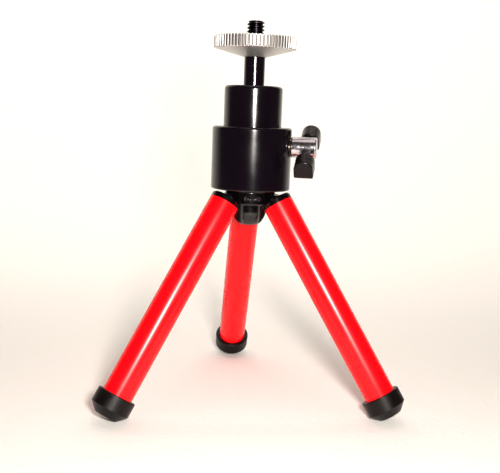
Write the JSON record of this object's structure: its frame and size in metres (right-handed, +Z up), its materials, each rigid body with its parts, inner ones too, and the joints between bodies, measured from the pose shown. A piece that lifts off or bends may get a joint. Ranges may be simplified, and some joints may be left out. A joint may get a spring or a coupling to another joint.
{
  "type": "mini tabletop tripod with ball head",
  "caption": "Folding tabletop mini tripod with tubular legs, a locking ball head, a threaded camera stud and a fluted clamping disc.",
  "frame": {"origin": "point on the floor under the middle of the head; the feet rest at z = 0", "axes": "+Z up along the camera stud, +Y along the back leg, the two front legs open toward -Y, the lock screw points 16.5 degrees in front of +X"},
  "size_m": [0.1094, 0.0966, 0.1387],
  "materials": {
    "black_anodised": "deep black anodised aluminium with a gloss",
    "black_plastic": "moulded black nylon with a wet gloss",
    "red_tube": "glossy red anodised or lacquered aluminium tube",
    "bare_aluminium": "turned bright aluminium with fine lathe lines",
    "chrome": "polished chrome plate",
    "black_rubber": "matte black rubber",
    "black_steel": "blackened steel screw thread",
    "steel": "plain machined steel",
    "brass": "turned brass",
    "nylon": "natural white nylon",
    "tip_plastic": "black vinyl grip with a soft sheen"
  },
  "bodies": {
    "head": {"housing": "black_anodised", "base_plug": "bare_aluminium", "lock_bushing": "brass", "leg_hub": "black_plastic", "hinge_pins": "steel", "hub_washer": "steel", "hub_screw": "steel", "pan_washer": "nylon"},
    "turret": {"turret": "black_anodised"},
    "ball": {"ball": "chrome"},
    "stem": {"stem": "black_anodised", "camera_stud": "black_steel"},
    "pad": {"clamp_pad": "black_rubber"},
    "disc": {"clamp_disc": "bare_aluminium"},
    "plunger": {"plunger": "brass", "ball_seat": "nylon"},
    "wedge": {"lock_wedge": "brass"},
    "lock_screw": {"lock_screw": "steel", "lock_boss": "chrome"},
    "bar": {"cross_bar": "steel", "bar_tip_lower": "tip_plastic", "bar_tip_upper": "tip_plastic"},
    "leg_left": {"leg_knuckle_left": "black_plastic", "leg_tube_left": "red_tube", "leg_foot_left": "black_rubber"},
    "leg_right": {"leg_knuckle_right": "black_plastic", "leg_tube_right": "red_tube", "leg_foot_right": "black_rubber"},
    "leg_back": {"leg_knuckle_back": "black_plastic", "leg_tube_back": "red_tube", "leg_foot_back": "black_rubber"}
  },
  "joints": [
    {"name": "turret_pan", "type": "hinge", "parent": "head", "child": "turret", "pos_m": [0, 0, 0.10771], "axis": [0, 0, 1], "continuous": true},
    {"name": "ball_tilt", "type": "hinge", "parent": "turret", "child": "ball", "pos_m": [0, 0, 0.10771], "axis": [-1, 0, 0], "range_deg": [-20, 90]},
    {"name": "stem_spin", "type": "hinge", "parent": "ball", "child": "stem", "pos_m": [0, 0, 0.10771], "axis": [0, 0, 1], "continuous": true},
    {"name": "disc_lift", "type": "slide", "parent": "stem", "child": "pad", "axis": [0, 0, 1], "range_m": [0, 0.00254]},
    {"name": "disc_turn", "type": "hinge", "parent": "pad", "child": "disc", "pos_m": [0, 0, 0.13313], "axis": [0, 0, 1], "range_deg": [0, 720]},
    {"name": "plunger_drop", "type": "slide", "parent": "head", "child": "plunger", "axis": [0, 0, -1], "range_m": [0, 0.0007]},
    {"name": "wedge_slide", "type": "slide", "parent": "head", "child": "wedge", "axis": [0.9588, -0.284, 0], "range_m": [0, 0.0007]},
    {"name": "lock_turn", "type": "hinge", "parent": "wedge", "child": "lock_screw", "pos_m": [0.01414, -0.00419, 0.09451], "axis": [0.9588, -0.284, 0], "range_deg": [0, 360]},
    {"name": "bar_slide", "type": "slide", "parent": "lock_screw", "child": "bar", "axis": [0.246, 0.8304, 0.5], "range_m": [0, 0.00435]},
    {"name": "leg_fold_left", "type": "hinge", "parent": "head", "child": "leg_left", "pos_m": [-0.00517, -0.00298, 0.07576], "axis": [0.5, -0.866, 0], "range_deg": [0, 32.8]},
    {"name": "leg_fold_right", "type": "hinge", "parent": "head", "child": "leg_right", "pos_m": [0.00517, -0.00298, 0.07576], "axis": [0.5, 0.866, 0], "range_deg": [0, 32.8]},
    {"name": "leg_fold_back", "type": "hinge", "parent": "head", "child": "leg_back", "pos_m": [0, 0.00597, 0.07576], "axis": [-1, 0, 0], "range_deg": [0, 32.8]}
  ],
  "couplings": [
    {"joint": "disc_turn", "follows": "disc_lift", "rad_per_m": 4947.4},
    {"joint": "plunger_drop", "follows": "wedge_slide", "ratio": 1},
    {"joint": "lock_turn", "follows": "wedge_slide", "rad_per_m": 8976}
  ]
}
